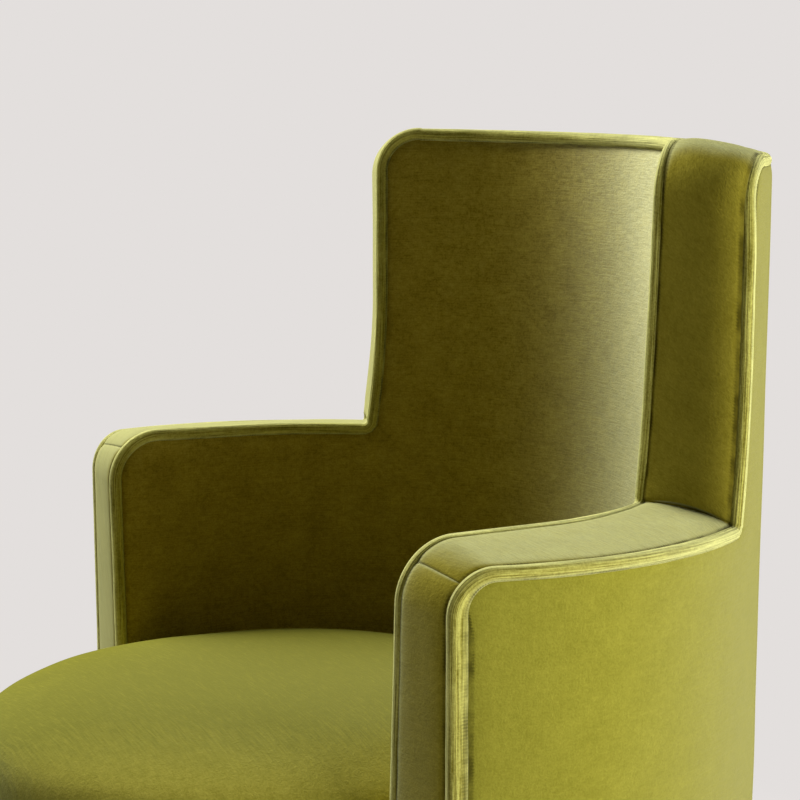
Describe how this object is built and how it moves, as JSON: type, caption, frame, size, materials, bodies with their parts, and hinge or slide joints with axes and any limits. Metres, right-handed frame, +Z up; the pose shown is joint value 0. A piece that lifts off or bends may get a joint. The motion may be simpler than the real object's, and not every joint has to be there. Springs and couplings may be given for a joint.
{
  "type": "swivel chair",
  "caption": "Barrel-back swivel armchair in olive green velvet, with stepped welted tub walls, a round domed seat and a four-star metal base.",
  "frame": {"origin": "on the floor, on the swivel axis, which is also the middle of the part's footprint", "axes": "+Z up along the swivel axis; -Y out of the front of the seat; +X towards the sitter's left arm"},
  "size_m": [0.6358, 0.635, 0.8641],
  "materials": {
    "upholstery_velvet": "cotton or mohair velvet with a short dense pile and a strong sheen",
    "upholstery_foam": "open-cell polyurethane foam",
    "polyester_wadding": "soft white polyester wadding",
    "birch_plywood": "raw sanded birch plywood",
    "elastic_webbing": "woven elastic upholstery webbing",
    "black_cambric": "matt non-woven dust cover",
    "zinc_plated_steel": "bright zinc plating",
    "brushed_steel_tube": "brushed steel",
    "polished_aluminium": "cast aluminium, polished",
    "brass_cage": "plain turned brass",
    "black_nylon": "moulded black nylon"
  },
  "bodies": {
    "base": {"glides": "black_nylon", "base_leg_front_left": "polished_aluminium", "base_leg_front_right": "polished_aluminium", "base_leg_rear_left": "polished_aluminium", "base_leg_rear_right": "polished_aluminium", "leg_bolts": "zinc_plated_steel", "base_hub": "polished_aluminium", "hub_cap": "black_nylon", "column_tube": "brushed_steel_tube", "lower_bush": "black_nylon", "upper_bush": "black_nylon", "lower_race": "zinc_plated_steel"},
    "bearing_cage": {"ball_cage": "brass_cage", "bearing_balls": "zinc_plated_steel"},
    "chair": {"upper_race": "zinc_plated_steel", "swivel_head": "zinc_plated_steel", "spindle": "zinc_plated_steel", "retaining_ring": "zinc_plated_steel", "seat_plate": "zinc_plated_steel", "plate_bolts": "zinc_plated_steel", "tee_nuts": "zinc_plated_steel", "dust_cover": "black_cambric", "base_board": "birch_plywood", "wall_bottom_rail": "birch_plywood", "arm_rail_left": "birch_plywood", "arm_rail_right": "birch_plywood", "back_top_rail": "birch_plywood", "arm_front_post_left": "birch_plywood", "arm_front_post_right": "birch_plywood", "step_post_left": "birch_plywood", "step_post_right": "birch_plywood", "back_posts": "birch_plywood", "inner_board": "birch_plywood", "outer_board": "birch_plywood", "inner_foam": "upholstery_foam", "outer_wadding": "polyester_wadding", "rim_padding": "upholstery_foam", "inner_panel": "upholstery_velvet", "outer_panel": "upholstery_velvet", "back_boxing": "upholstery_velvet", "arm_top_boxing_left": "upholstery_velvet", "arm_top_boxing_right": "upholstery_velvet", "arm_front_boxing_left": "upholstery_velvet", "arm_front_boxing_right": "upholstery_velvet", "inner_welt": "upholstery_velvet", "outer_welt": "upholstery_velvet", "seat_hoop_left": "birch_plywood", "seat_hoop_right": "birch_plywood", "webbing_lengthwise": "elastic_webbing", "webbing_crosswise": "elastic_webbing", "seat_foam": "upholstery_foam", "seat_cover": "upholstery_velvet"}
  },
  "joints": [
    {"name": "swivel", "type": "hinge", "parent": "base", "child": "chair", "pos_m": [0, 0, 0.28], "axis": [0, 0, 1], "continuous": true},
    {"name": "cage_turn", "type": "hinge", "parent": "base", "child": "bearing_cage", "pos_m": [0, 0, 0.275], "axis": [0, 0, 1], "continuous": true}
  ],
  "couplings": [
    {"joint": "cage_turn", "follows": "swivel", "ratio": 0.5}
  ]
}
